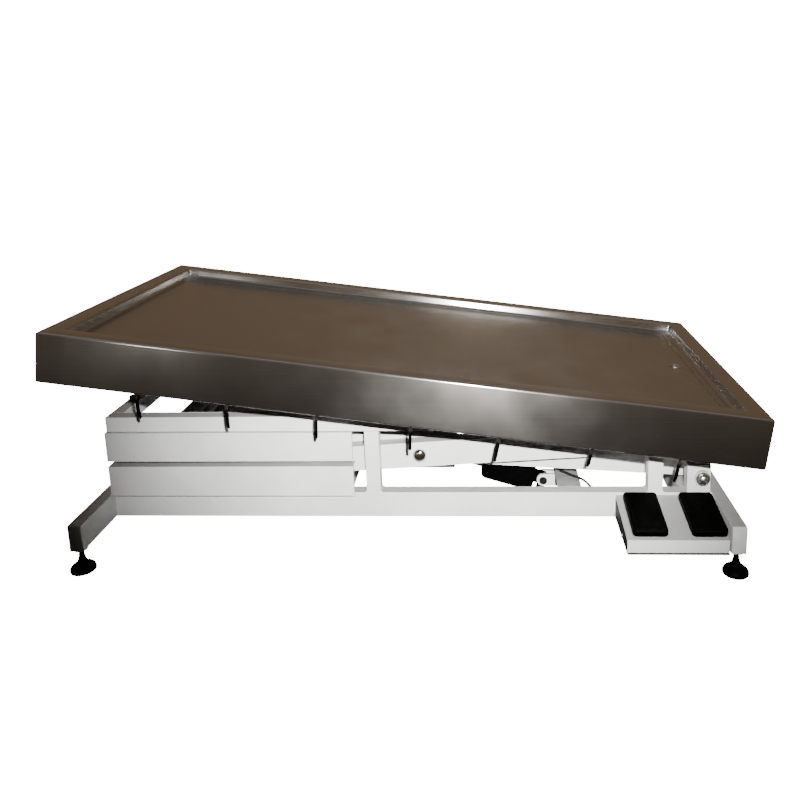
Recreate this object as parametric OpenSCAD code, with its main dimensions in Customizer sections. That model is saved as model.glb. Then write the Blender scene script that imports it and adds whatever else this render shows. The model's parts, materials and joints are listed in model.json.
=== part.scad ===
// Veterinary exam table: a steel tray that tilts, on a scissor lift over a welded tube base.
// X runs along the table, Z runs up from the floor, and the side with the pedals faces -Y.

/* [Tray] */
// Length of the tray
tray_len = 1300; // [1260:10:1400]
// Width of the tray
tray_wid = 650; // [630:5:700]
// Height of the skirt round the tray
skirt_h = 90; // [70:1:95]
// Thickness of the tray's sheet
sheet = 2; // [1:0.5:3]
// Width of the flat rim
rim_w = 34; // [28:1:42]
// Width that the steep wall inside the rim takes up
slope_w = 4; // [3:0.5:8]
// Drop of the steep wall
slope_d = 16; // [12:0.5:18]
// Width of the bend between the wall and the pan
apron_w = 8; // [6:1:20]
// Drop of the bend
apron_d = 2; // [1:0.5:4]
// Width of the return along the skirt's lower edge
skirt_lip = 14; // [10:1:18]
// Tilt of the tray, left end up
tray_tilt = 7.6; // [0:0.1:12]
// Radius of the hole under the drain's strainer
drain_r = 10; // [8:0.5:11]

/* [Hooks] */
// Hooks along each long side
hook_count = 7; // [3:1:9]
// Distance between hooks
hook_pitch = 166; // [120:5:180]
// Length of the longest hook
hook_len = 50; // [40:1:60]
// Radius of the bare rod
hook_rod_r = 2.5; // [2:0.1:3]
// Radius of the sleeve
hook_sleeve_r = 3.7; // [3.4:0.1:4.5]

/* [Base] */
// Length over the foot beams
base_len = 1194; // [1180:2:1220]
// Length of a foot beam over its end caps
beam_len = 754; // [720:2:800]
// Width over the rails
base_wid = 500; // [498:1:504]
// Height of the tubes of the base
tube_h = 50; // [48:1:52]
// Width of the tubes of the base
tube_w = 25; // [24:0.5:25.5]
// Wall of every rectangular tube
tube_wall = 2; // [1.5:0.5:3]
// Height of the base over the floor
base_lift = 45; // [40:1:60]
// Width of a post
post_w = 27; // [22:1:30]

/* [Feet] */
// Radius of a foot's pad
foot_r = 22.5; // [20:0.5:30]
// Height of a foot's pad
foot_pad_h = 20; // [14:1:24]
// Radius of a foot's stem
foot_stem_r = 5; // [4:0.5:6]

/* [Scissor lift] */
// Distance from an arm's middle to its end pivots
arm_half = 530; // [525:1:532]
// Distance of the fixed pivots from the table's middle
pivot_x = 553; // [551:1:554]
// Height of an arm
arm_h = 50; // [46:1:50]
// Width of an arm
arm_w = 25; // [22:0.5:25.5]
// Radius of the pivot pins
pin_r = 8; // [6:0.5:9]
// Radius of the torque tube between the outer arms
torque_r = 17; // [15:0.5:18]
// Gap between the outer and inner arms
arm_gap = 3; // [2:0.5:3.5]

/* [Upper frame] */
// Height of the upper frame's underside over the floor
frame_z = 219; // [218:0.5:224]
// Height of the upper frame's tubes
frame_h = 30; // [28:1:31]
// Length of the upper frame
frame_len = 1148; // [1146:1:1150]

/* [Covers] */
// Thickness of the cover sheet
cover_t = 2; // [1:0.5:3]
// Length of the covers
cover_len = 473; // [450:1:480]
// Height of the upper cover
cover_up_h = 57.5; // [50:0.5:62]
// Height of the lower cover
cover_low_h = 60; // [50:0.5:62]

/* [Pedals] */
// Depth of the pedal base in front of the rail
wedge_depth = 127; // [120:1:135]
// Width of a pedal
pedal_w = 61; // [50:1:64]
// Length of a pedal
pedal_len = 112; // [90:1:114]
// Thickness of a pedal
pedal_t = 12; // [8:1:14]

/* [Hidden] */
$fn = 48;

// Overrun of every cut, gap between pieces that lie on each other, and running clearance
over = 1;
seat_gap = 0.3;
fit = 0.05;
plate_t = 6;

// Places that the pieces share
rail_y = base_wid / 2;
rail_in = rail_y - tube_w;
rail_x = base_len / 2 - tube_w;
rail_top = base_lift + tube_h;
pivot_up = 31;
pivot_z = rail_top + pivot_up;
hinge_down = 27;
hinge_z = frame_z - hinge_down;
lift_angle = asin((hinge_z - pivot_z) / (2 * arm_half));
centre_x = pivot_x - arm_half * cos(lift_angle);
centre_z = (hinge_z + pivot_z) / 2;
roll_x = pivot_x - 2 * arm_half * cos(lift_angle);
side_gap = 3;
outer_y = rail_in - side_gap;
outer_in = outer_y - arm_w;
inner_y = outer_in - arm_gap;
inner_in = inner_y - arm_w;
frame_top = frame_z + frame_h;
frame_end = frame_len / 2;
hinge_end = 89;
tilt_x = tray_len / 2 - hinge_end;
tilt_z = frame_z + frame_h / 2;
hinge_drop = 43.5;
tray_cx = skirt_h * sin(tray_tilt) / 2;
tray_z = tilt_z + ((tilt_x - tray_cx) * sin(tray_tilt) + hinge_drop) / cos(tray_tilt);
hinge_lx = (tilt_x - tray_cx) * cos(tray_tilt) - (tilt_z - tray_z) * sin(tray_tilt);
pan_z = -slope_d - apron_d;
pan_low = pan_z - sheet;
pan_x = tray_len / 2 - rim_w - slope_w - apron_w;
pan_y = tray_wid / 2 - rim_w - slope_w - apron_w;

// A block between two corners
module slab(a, b) {
  translate(a) cube(b - a);
}
// A rectangular tube between two corners, open at both ends along axis 0 or 1 or 2
module tube(a, b, ax) {
  cut = [for (i = [0:2]) i == ax ? -over : tube_wall];
  difference() {
    slab(a, b);
    slab(a + cut, b - cut);
  }
}
// A round bar along Y at x, z
module bar(x, z, y0, y1, r) {
  translate([x, y0, z]) rotate([-90, 0, 0]) cylinder(r = r, h = y1 - y0);
}
// The same thing on the working side and on the far side
module both_sides() {
  children();
  mirror([0, 1, 0]) children();
}
module both_ends() {
  children();
  mirror([1, 0, 0]) children();
}
module on_tray() {
  translate([tray_cx, 0, tray_z]) rotate([0, tray_tilt, 0]) children();
}

// Base tubes
module base_rails() {
  color("#dcdcd8") both_sides()
    tube([-rail_x, -rail_y, base_lift], [rail_x, -rail_in, rail_top], 0);
}
cap_t = 3;
insert_r = 9;
foot_x = base_len / 2 - tube_w / 2;
foot_in = 15;
foot_y = beam_len / 2 - foot_in;
module foot_beams() {
  color("#d8d8d4") both_ends() difference() {
    tube([rail_x, -beam_len / 2 + cap_t, base_lift], [rail_x + tube_w, beam_len / 2 - cap_t, rail_top], 1);
    both_sides() translate([foot_x, -foot_y, base_lift - over])
      cylinder(r = insert_r, h = tube_wall + 2 * over);
  }
}
plug_len = 3;
module beam_end_caps() {
  wall = tube_wall + fit;
  color("#c8c8c4") both_ends() both_sides() {
    slab([rail_x, -beam_len / 2, base_lift], [rail_x + tube_w, -beam_len / 2 + cap_t, rail_top]);
    slab([rail_x + wall, -beam_len / 2 + cap_t, base_lift + wall],
      [rail_x + tube_w - wall, -beam_len / 2 + cap_t + plug_len, rail_top - wall]);
  }
}
// Cross members between the rails, one under the fixed pivots and one left of the middle
cross_right_x = 518;
cross_right_w = 50;
cross_left_x = -150;
module cross_members() {
  color("#d0d0cc") {
    tube([cross_right_x, -rail_in, base_lift], [cross_right_x + cross_right_w, rail_in, rail_top], 1);
    tube([cross_left_x, -rail_in, base_lift], [cross_left_x + tube_w, rail_in, rail_top], 1);
  }
}
// The lift drive's anchor: an angle section across the base, ears under its flange, a pin
anchor_x = 265;
anchor_up = 29;
anchor_z = base_lift + anchor_up;
drive_y = -145;
angle_left = 288;
angle_right = 333;
eye_w = 12;
ear_gap = 0.5;
ear_t = 6;
ear_r = 12.5;
drive_pin_r = 6;
lead_hole_r = 6;
lead_hole_y = 215;
lead_hole_up = 15;
module lift_anchor_angle() {
  color("#dededa") difference() {
    union() {
      slab([angle_left, -rail_in, rail_top - plate_t], [angle_right, rail_in, rail_top]);
      slab([angle_right - plate_t, -rail_in, base_lift], [angle_right, rail_in, rail_top - plate_t]);
    }
    translate([angle_right - plate_t - over, -lead_hole_y, base_lift + lead_hole_up]) rotate([0, 90, 0])
      cylinder(r = lead_hole_r, h = plate_t + 2 * over);
  }
}
module ear(y) {
  difference() {
    union() {
      bar(anchor_x, anchor_z, y, y + ear_t, ear_r);
      slab([anchor_x, y, anchor_z - ear_r], [angle_right - plate_t, y + ear_t, anchor_z + ear_r]);
      slab([angle_left, y, anchor_z], [angle_right - plate_t, y + ear_t, rail_top - plate_t]);
    }
    bar(anchor_x, anchor_z, y - over, y + ear_t + over, drive_pin_r + fit);
  }
}
module lift_anchor_ears() {
  color("#e2e2de") {
    ear(drive_y - eye_w / 2 - ear_gap - ear_t);
    ear(drive_y + eye_w / 2 + ear_gap);
  }
}
pin_head_r = 8;
pin_head_t = 3;
module lift_anchor_pin() {
  reach = eye_w / 2 + ear_gap + ear_t;
  color("#33312f") {
    bar(anchor_x, anchor_z, drive_y - reach, drive_y + reach, drive_pin_r);
    bar(anchor_x, anchor_z, drive_y - reach - pin_head_t, drive_y - reach, pin_head_r);
    bar(anchor_x, anchor_z, drive_y + reach, drive_y + reach + pin_head_t, pin_head_r);
  }
}
// Posts on the rails: two that show and two behind the covers, on each side
post_in = 101;
post_x = [centre_x - post_in, 454];
hidden_post_x = [-568, -190];
hidden_post_w = 30;
hidden_post_d = 22;
// They stand back from the rail's face, so that the gap between the covers shows none of them
hidden_post_back = 14;
post_fillet = 6;
module posts() {
  h = frame_z - rail_top - seat_gap;
  color("#e0e0dc") both_sides() {
    for (x = post_x) translate([x, -rail_in, rail_top]) rotate([90, 0, 0]) linear_extrude(tube_w) {
      square([post_w, h]);
      for (m = [0, 1]) translate([m * post_w, 0]) mirror([1 - m, 0]) difference() {
        square(post_fillet);
        translate([post_fillet, post_fillet]) circle(r = post_fillet);
      }
    }
    for (x = hidden_post_x)
      slab([x, -rail_y + hidden_post_back, rail_top],
        [x + hidden_post_w, -rail_y + hidden_post_d, frame_z - seat_gap]);
  }
}
// Roller tracks on the rails
track_left = -532;
track_right = -205;
module lower_tracks() {
  color("#c4c4c0") both_sides()
    slab([track_left, -rail_y, rail_top], [track_right, -rail_in, rail_top + plate_t]);
}
// Brackets of the fixed pivots, with an inner plate on the cross member
bracket_left = 526;
bracket_right = 569;
bracket_h = 55;
bracket_boss_r = 14;
bracket_boss_t = 8;
support_y = 157;
support_t = 8;
module pivot_brackets() {
  color("#dcdcd8") both_sides() difference() {
    union() {
      slab([bracket_left, -rail_y, rail_top], [bracket_right, -rail_in, rail_top + bracket_h]);
      bar(pivot_x, pivot_z, -rail_y - bracket_boss_t, -rail_y, bracket_boss_r);
      slab([bracket_left, -support_y - support_t, rail_top],
        [cross_right_x + cross_right_w, -support_y, rail_top + bracket_h]);
    }
    bar(pivot_x, pivot_z, -rail_y - bracket_boss_t - over, -support_y + over, pin_r + fit);
  }
}
module base_pivot_pins() {
  color("#a8a8a6") both_sides()
    bar(pivot_x, pivot_z, -rail_y - bracket_boss_t, -support_y, pin_r);
}
// Sheet covers in front of the lower rollers, with ribs that reach the hidden posts
cover_y = 262;
cover_left = -572;
cover_low_z = 94;
cover_gap = 10.5;
cover_up_z = cover_low_z + cover_low_h + cover_gap;
cover_return = 8;
cover_ledge = 26;
module cover(z, h, back) {
  difference() {
    slab([cover_left, -cover_y, z], [cover_left + cover_len, -cover_y + back, z + h]);
    slab([cover_left + cover_t, -cover_y + cover_t, z + cover_t],
      [cover_left + cover_len - cover_t, -cover_y + back + over, z + h - cover_t]);
  }
  for (x = hidden_post_x) {
    slab([x + cover_t, -cover_y + cover_t, z + cover_t],
      [x + hidden_post_w - cover_t, -rail_y, z + h - cover_t]);
    slab([x + cover_t, -rail_y - over, z + cover_t],
      [x + hidden_post_w - cover_t, -rail_y + hidden_post_back, z + h - 3 * cover_t]);
  }
}
module cover_upper() {
  color("#e4e4e0") both_sides() cover(cover_up_z, cover_up_h, cover_return);
}
module cover_lower() {
  top = cover_low_z + cover_low_h;
  color("#e4e4e0") both_sides() {
    cover(cover_low_z, cover_low_h, cover_return);
    difference() {
      slab([cover_left, -cover_y + cover_t, top - cover_t], [cover_left + cover_len, -cover_y + cover_ledge, top]);
      for (x = hidden_post_x) slab([x - seat_gap, -rail_y + hidden_post_back - seat_gap, top - cover_t - over],
        [x + hidden_post_w + seat_gap, -rail_y + cover_ledge, top + over]);
    }
  }
}
// Control box between the cross members, with its mains inlet
box_left = -125;
box_right = 82;
box_y0 = -45;
box_y1 = 135;
box_low = 3;
inlet_w = 30;
inlet_h = 22;
inlet_t = 8;
module control_box() {
  color("#5a5c5e") {
    slab([box_left, box_y0, base_lift + box_low], [box_right, box_y1, rail_top + box_low]);
    translate([box_right - inlet_w, box_y1, base_lift + box_low + inlet_t]) difference() {
      cube([inlet_w - inlet_t, inlet_t, inlet_h]);
      translate([sheet, sheet, sheet]) cube([inlet_w - inlet_t - 2 * sheet, inlet_t, inlet_h - 2 * sheet]);
    }
  }
}
// The drive's lead: over the anchor's flange, down behind the front rail and along it to the box
lead_r = 2.5;
lead_route = [[298, -165, 98.5], [316, -183, 98.5], [338, -203, 98], [352, -213, 88], [357, -216, 74],
  [348, -215, 62], [330, -215, 60], [300, -217, 59], [200, -220, 58], [100, -220, 58], [0, -220, 58],
  [-60, -218, 58], [-84, -204, 60], [-90, -170, 62], [-90, -110, 66], [-90, -45, 66]];
lead_steps = 5;
lead_sides = 8;
// Catmull-Rom point between the second and third of four points
function spline(a, b, c, d, t) = 0.5 * (2 * b + (c - a) * t + (2 * a - 5 * b + 4 * c - d) * t * t
  + (3 * b - a - 3 * c + d) * t * t * t);
function along(p, i, t) = spline(p[max(i - 1, 0)], p[i], p[i + 1], p[min(i + 2, len(p) - 1)], t);
function path(p, n) = concat([for (i = [0:len(p) - 2], k = [0:n - 1]) along(p, i, k / n)], [p[len(p) - 1]]);
function unit(v) = v / norm(v);
function heading(q, i) = unit(q[min(i + 1, len(q) - 1)] - q[max(i - 1, 0)]);
// Sideways directions carried along the path without twisting
function sides(q, i, u) = i >= len(q) ? [] : let (h = heading(q, i), w = unit(u - (u * h) * h))
  concat([w], sides(q, i + 1, w));
module swept(q, r, n) {
  u = sides(q, 0, [0, 0, 1]);
  pts = [for (i = [0:len(q) - 1], k = [0:n - 1]) let (w = cross(heading(q, i), u[i]))
    q[i] + r * (cos(360 * k / n) * u[i] + sin(360 * k / n) * w)];
  skin = [for (i = [0:len(q) - 2], k = [0:n - 1]) let (a = i * n + k, b = i * n + (k + 1) % n)
    each [[a, a + n, b], [b, a + n, b + n]]];
  polyhedron(pts, concat([[for (k = [0:n - 1]) k]], skin,
    [[for (k = [n - 1:-1:0]) (len(q) - 1) * n + k]]), convexity = 4);
}
module motor_lead() {
  color("#1c1c1c") swept(path(lead_route, lead_steps), lead_r, lead_sides);
}
// Pedal base: a folded wedge on the front rail, closed by a bottom plate
pedal_x0 = 394;
pedal_x1 = 568;
wedge_drop = 5;
wedge_fall = 24;
wedge_lip = 3;
bottom_t = 2;
pedal_lip_h = 4;
wedge_y = rail_y + wedge_depth;
wedge_back_z = rail_top - wedge_drop;
wedge_front_z = rail_top - wedge_fall;
wedge_tilt = atan((wedge_back_z - wedge_front_z) / (wedge_y - rail_y));
wedge_slot_r = 9;
module wedge(z0, drop, side) {
  translate([pedal_x0 + side, 0, 0]) rotate([90, 0, 90]) linear_extrude(pedal_x1 - pedal_x0 - 2 * side)
    polygon([[-rail_y - side, z0], [-rail_y - side, wedge_back_z - drop],
      [-wedge_y + side, wedge_front_z - drop], [-wedge_y + side, z0]]);
}
module pedal_base() {
  color("#e0e0dc") difference() {
    wedge(base_lift + bottom_t, 0, 0);
    wedge(base_lift + bottom_t - over, cover_t, cover_t);
    for (x = pedal_mid) translate([x, -pedal_y, base_lift]) cylinder(r = wedge_slot_r, h = tube_h);
  }
}
screw_r = 4;
screw_t = 1.5;
screw_shares = [0.06, 0.63];
screw_y = [for (k = screw_shares) rail_y + k * wedge_depth];
screw_up = 8;
module pedal_base_plate() {
  color("#55534f") {
    slab([pedal_x0, -wedge_y - wedge_lip, base_lift], [pedal_x1, -rail_y, base_lift + bottom_t]);
    slab([pedal_x0, -wedge_y - wedge_lip, base_lift],
      [pedal_x1, -wedge_y - wedge_lip + bottom_t / 2, base_lift + pedal_lip_h]);
    for (y = screw_y) translate([pedal_x0 - screw_t, -y, base_lift + screw_up]) rotate([0, 90, 0])
      cylinder(r = screw_r, h = screw_t);
    for (y = screw_y) slab([pedal_x0 + cover_t, -y - screw_r, base_lift + bottom_t],
      [pedal_x0 + cover_t + bottom_t, -y + screw_r, base_lift + screw_up + screw_r]);
    for (x = pedal_mid) {
      for (m = [0, 1]) mirror([m, 0, 0]) translate([m == 1 ? -x : x, 0, 0])
        slab([pedal_neck_r + ear_gap, -pivot_y - pivot_lug_r, base_lift + bottom_t],
          [pedal_neck_r + ear_gap + pivot_lug_t, -pivot_y + pivot_lug_r, pivot_up_z + pivot_lug_r]);
      translate([x - pedal_neck_r - ear_gap, -pivot_y, pivot_up_z]) rotate([0, 90, 0])
        cylinder(r = pivot_pin_r, h = 2 * (pedal_neck_r + ear_gap));
    }
  }
}
// Rocking pedals over the wedge, each on a neck that passes its slot
pedal_mid = [435, 536.5];
pedal_shift = 4;
pedal_y = rail_y + wedge_depth / 2 + pedal_shift;
pedal_r = 7;
pedal_gap = 3;
pedal_neck_r = 6;
pedal_neck_h = 21;
pedal_pivot = 16;
pivot_lug_r = 4.5;
pivot_lug_t = 3;
pivot_pin_r = 2;
pedal_z = (wedge_back_z + wedge_front_z) / 2 + pedal_gap / cos(wedge_tilt);
pivot_y = pedal_y - pedal_pivot * sin(wedge_tilt);
pivot_up_z = pedal_z - pedal_pivot * cos(wedge_tilt);
module pedal(i) {
  color("#161616") translate([pedal_mid[i], -pedal_y, pedal_z]) rotate([wedge_tilt, 0, 0]) {
    linear_extrude(pedal_t) difference() {
      translate([-pedal_w / 2, -pedal_len / 2]) square([pedal_w, pedal_len]);
      for (x = [-1, 1], y = [-1, 1]) translate([x * pedal_w / 2, y * pedal_len / 2]) scale([x, y])
        difference() {
          translate([-pedal_r, -pedal_r]) square(pedal_r + over);
          translate([-pedal_r, -pedal_r]) circle(r = pedal_r);
        }
    }
    difference() {
      translate([0, 0, -pedal_neck_h]) cylinder(r = pedal_neck_r, h = pedal_neck_h);
      translate([-pedal_w / 2, 0, -pedal_pivot]) rotate([0, 90, 0])
        cylinder(r = pivot_pin_r + fit, h = pedal_w);
    }
  }
}
module pedal_left() { pedal(0); }
module pedal_right() { pedal(1); }

// Threaded inserts in the beams, and the levelling feet that turn in them
insert_flange_r = 12;
insert_flange_t = 3;
insert_h = 18;
module foot_inserts() {
  color("#9a9a98") both_ends() both_sides() translate([foot_x, -foot_y, 0]) difference() {
    union() {
      translate([0, 0, base_lift - insert_flange_t]) cylinder(r = insert_flange_r, h = insert_flange_t);
      translate([0, 0, base_lift]) cylinder(r = insert_r - fit, h = insert_h);
    }
    translate([0, 0, base_lift - insert_flange_t - over])
      cylinder(r = foot_stem_r + fit, h = insert_h + insert_flange_t + 2 * over);
  }
}
foot_edge_h = 6;
foot_top_r = 9;
stem_over = 10;
module foot(mx, my) {
  color("#1a1a1a") translate([mx * foot_x, my * foot_y, 0]) {
    rotate_extrude() {
      square([foot_r, foot_edge_h]);
      translate([0, foot_edge_h]) scale([foot_r, foot_pad_h - foot_edge_h]) intersection() {
        circle(r = 1, $fn = 96);
        square(1);
      }
      square([foot_top_r, foot_pad_h]);
    }
    cylinder(r = foot_stem_r, h = base_lift + stem_over);
  }
}
module foot_front_left() { foot(-1, -1); }
module foot_front_right() { foot(1, -1); }
module foot_rear_left() { foot(-1, 1); }
module foot_rear_right() { foot(1, 1); }

// Scissor arms: rectangular tube with rounded ends and a bush at each pivot
bush_r = 14;
lug_r = 24;
arm_len = 2 * arm_half;
module arm(x, z, a, y0, mid_r, bores) {
  translate([x, y0 + arm_w, z]) rotate([0, a, 0]) rotate([90, 0, 0]) difference() {
    union() {
      difference() {
        linear_extrude(arm_w) {
          translate([0, -arm_h / 2]) square([arm_len, arm_h]);
          circle(r = arm_h / 2);
          translate([arm_len, 0]) circle(r = arm_h / 2);
        }
        translate([-arm_h, -arm_h / 2 + tube_wall, tube_wall])
          cube([arm_len + 2 * arm_h, arm_h - 2 * tube_wall, arm_w - 2 * tube_wall]);
      }
      for (s = [0, 1]) translate([s * arm_len, 0, 0]) cylinder(r = bush_r, h = arm_w);
      translate([arm_half, 0, 0]) cylinder(r = mid_r, h = arm_w);
    }
    for (s = [0, 1, 2]) translate([s * arm_half, 0, -over]) cylinder(r = bores[s] + fit, h = arm_w + 2 * over);
  }
}
axle_r = 7;
bolt_r = 6;
module inner_arms() {
  color("#dadad6") both_sides()
    arm(roll_x, hinge_z, lift_angle, -inner_y, lug_r, [axle_r, torque_r, pin_r]);
}
module outer_arms() {
  color("#dededa") both_sides()
    arm(roll_x, pivot_z, -lift_angle, -outer_y, bush_r, [axle_r, bolt_r, pin_r]);
}
// Cross tubes between the arms, near their ends
cross_r = 15;
cross_wall = 3;
outer_cross_in = 33;
roller_cross_in = 25;
inner_cross_in = 58;
module round_tube(x, z, y) {
  difference() {
    bar(x, z, -y, y, cross_r);
    bar(x, z, -y - over, y + over, cross_r - cross_wall);
  }
}
module outer_cross_tubes() {
  rise = tan(lift_angle);
  color("#d4d4d0") {
    round_tube(pivot_x - outer_cross_in, hinge_z - outer_cross_in * rise, outer_in);
    round_tube(roll_x + roller_cross_in, pivot_z + roller_cross_in * rise, outer_in);
  }
}
module inner_cross_tubes() {
  rise = tan(lift_angle);
  color("#d4d4d0") {
    round_tube(pivot_x - inner_cross_in, pivot_z + inner_cross_in * rise, inner_in);
    round_tube(roll_x + roller_cross_in, hinge_z - roller_cross_in * rise, inner_in);
  }
}
// Torque tube, open where the drive passes, with the lever plates and the pin of the drive
drive_half = 13.5;
plug_depth = 20;
torque_wall = 4;
lever_x = -84.17;
lever_up = 14.41;
lever_end_r = 14;
lever_root_r = 20;
lever_half = 12;
lift_q = [centre_x + lever_x, centre_z + lever_up];
lever_front = drive_y - drive_half - plate_t;
lever_back = drive_y + drive_half + plate_t;
module torque_tube() {
  color("#c8c8c4") for (s = [0, 1]) difference() {
    bar(centre_x, centre_z, s == 0 ? -outer_in : lever_back, s == 0 ? lever_front : outer_in, torque_r);
    bar(centre_x, centre_z, s == 0 ? -outer_in - over : lever_back - over,
      s == 0 ? lever_front + over : outer_in + over, bolt_r + fit);
    bar(centre_x, centre_z, s == 0 ? -outer_in + plug_depth : lever_back - over,
      s == 0 ? lever_front + over : outer_in - plug_depth, torque_r - torque_wall);
  }
}
module lever_plate(y) {
  translate([centre_x, y + plate_t, centre_z]) rotate([90, 0, 0]) linear_extrude(plate_t) difference() {
    union() {
      circle(r = lever_root_r);
      translate([lever_x, lever_up]) circle(r = lever_end_r);
      rotate(atan2(lever_up, lever_x)) translate([0, -lever_half])
        square([norm([lever_x, lever_up]), 2 * lever_half]);
    }
    translate([lever_x, lever_up]) circle(r = drive_pin_r + fit);
  }
}
module lift_lever() {
  color("#d0d0cc") {
    lever_plate(lever_front);
    lever_plate(lever_back - plate_t);
  }
}
module lever_pin() {
  color("#8c8c8a") {
    bar(lift_q.x, lift_q.y, lever_front, lever_back, drive_pin_r);
    bar(lift_q.x, lift_q.y, lever_front - pin_head_t / 2, lever_front, pin_head_r);
    bar(lift_q.x, lift_q.y, lever_back, lever_back + pin_head_t / 2, pin_head_r);
  }
}
// Domed bolts that hold the outer arms on the torque tube
dome_r = 11;
dome_h = 10;
dome_base = 3;
module centre_bolts() {
  color("#d8d8d8") both_sides() {
    bar(centre_x, centre_z, -outer_y, -outer_in + plug_depth, bolt_r);
    translate([centre_x, -outer_y, centre_z]) rotate([90, 0, 0]) rotate_extrude() {
      square([dome_r, dome_base]);
      translate([0, dome_base]) scale([dome_r, dome_h - dome_base]) intersection() {
        circle(r = 1, $fn = 96);
        square(1);
      }
    }
  }
}
// Rollers and their axles
roller_t = 20;
low_roll_y = 247;
up_roll_y = 219;
head_t = 1;
roll_low_r = pivot_z - rail_top - plate_t - seat_gap;
roll_up_r = 19.7;
module lower_roller_axles() {
  color("#9c9c9a") both_sides() {
    bar(roll_x, pivot_z, -low_roll_y - head_t, -outer_in, axle_r);
    bar(roll_x, pivot_z, -low_roll_y + roller_t + fit, -outer_y, bush_r);
  }
}
module upper_roller_axles() {
  color("#9c9c9a") both_sides() {
    bar(roll_x, hinge_z, -up_roll_y, -inner_in, axle_r);
    bar(roll_x, hinge_z, -up_roll_y + roller_t + fit, -inner_y, bush_r);
  }
}
module roller(z, y, r, m) {
  color("#3a3a3a") scale([1, m, 1]) difference() {
    bar(roll_x, z, -y, -y + roller_t, r);
    bar(roll_x, z, -y - over, -y + roller_t + over, axle_r + fit);
  }
}
module roller_low_front() { roller(pivot_z, low_roll_y, roll_low_r, 1); }
module roller_low_rear() { roller(pivot_z, low_roll_y, roll_low_r, -1); }
module roller_up_front() { roller(hinge_z, up_roll_y, roll_up_r, 1); }
module roller_up_rear() { roller(hinge_z, up_roll_y, roll_up_r, -1); }

// Upper frame
frame_cross_x = [-230, 455];
module frame_side_tubes() {
  color("#e0e0dc") both_sides()
    tube([-frame_end, -rail_y, frame_z], [frame_end, -rail_in, frame_top], 0);
}
module frame_cross_tubes() {
  color("#d6d6d2") for (x = concat([-frame_end, frame_end - tube_w], frame_cross_x))
    tube([x, -rail_in, frame_z], [x + tube_w, rail_in, frame_top], 1);
}
web_t = 2;
flange_t = 4;
flange_z = hinge_z + roll_up_r + seat_gap;
lip_z = hinge_z - roll_up_r - seat_gap;
track_end = -210;
lip_end = -330;
track_in = 199;
module upper_tracks() {
  color("#ccccc8") both_sides() {
    slab([track_left + web_t, -rail_in, lip_z - flange_t], [track_end, -rail_in + web_t, frame_z]);
    slab([track_left + web_t, -rail_in, frame_z], [frame_cross_x[0] - seat_gap, -rail_in + web_t, frame_top]);
    slab([track_left + web_t, -rail_in + web_t, flange_z], [track_end, -track_in, flange_z + flange_t]);
    slab([track_left + web_t, -rail_in + web_t, lip_z - flange_t], [lip_end, -track_in, lip_z]);
  }
}
block_left = 533;
block_drop = 22;
module upper_hinge_blocks() {
  color("#dcdcd8") both_sides() difference() {
    slab([block_left, -rail_y, hinge_z - block_drop], [bracket_right, -rail_in, frame_z]);
    bar(pivot_x, hinge_z, -rail_y - over, -rail_in + over, pin_r + fit);
  }
}
// Pins of the arms' upper hinges, and the stub pins that the tray turns on
plate_gap = 2;
stub_len = 10;
module frame_pivot_pins() {
  color("#a8a8a6") both_sides() {
    bar(pivot_x, hinge_z, -rail_y, -outer_in, pin_r);
    bar(tilt_x, tilt_z, -rail_y - stub_len, -rail_y, pin_r);
  }
}
// The tilt drive's ears on the right cross tube
tilt_y = 60;
tilt_px = 440;
tilt_ear_t = 5;
tilt_ear_r = 12;
tilt_pin_r = 4;
tilt_eye_w = 12;
module tilt_anchor_ears() {
  y0 = tilt_eye_w / 2 + ear_gap;
  color("#d8d8d4") {
    for (m = [-1, 1]) difference() {
      union() {
        bar(tilt_px, tilt_z, tilt_y + m * y0 - (1 - m) / 2 * tilt_ear_t,
          tilt_y + m * y0 + (1 + m) / 2 * tilt_ear_t, tilt_ear_r);
        slab([tilt_px, tilt_y + m * y0 - (1 - m) / 2 * tilt_ear_t, tilt_z - tilt_ear_r],
          [frame_cross_x[1], tilt_y + m * y0 + (1 + m) / 2 * tilt_ear_t, tilt_z + tilt_ear_r]);
      }
      bar(tilt_px, tilt_z, tilt_y - tube_w, tilt_y + tube_w, tilt_pin_r + fit);
    }
    bar(tilt_px, tilt_z, tilt_y - y0 - tilt_ear_t - head_t, tilt_y + y0 + tilt_ear_t + head_t, tilt_pin_r);
  }
}
buffer_y = 150;
buffer_r = 10;
buffer_h = 8;
module rest_buffers() {
  color("#202020") both_sides() translate([-frame_end + tube_w / 2, -buffer_y, frame_top])
    cylinder(r = buffer_r, h = buffer_h);
}

// A solid through a stack of level rectangles, each [length, width, height]
module stack(r) {
  n = len(r);
  polyhedron([for (p = r, c = [[-1, -1], [1, -1], [1, 1], [-1, 1]]) [c.x * p[0] / 2, c.y * p[1] / 2, p[2]]],
    concat([[0, 1, 2, 3]], [for (i = [0:n - 2], k = [0:3]) let (a = 4 * i + k, b = 4 * i + (k + 1) % 4)
      [a, a + 4, b + 4, b]], [[for (k = [3:-1:0]) 4 * (n - 1) + k]]), convexity = 4);
}
// Tray: rim, steep wall, bend and the flat pan, one folded sheet, with the drain's hole
open_len = tray_len - 2 * rim_w;
open_wid = tray_wid - 2 * rim_w;
apron_len = open_len - 2 * slope_w;
apron_wid = open_wid - 2 * slope_w;
drain_in = 43;
drain_x = pan_x - drain_in;
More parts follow.
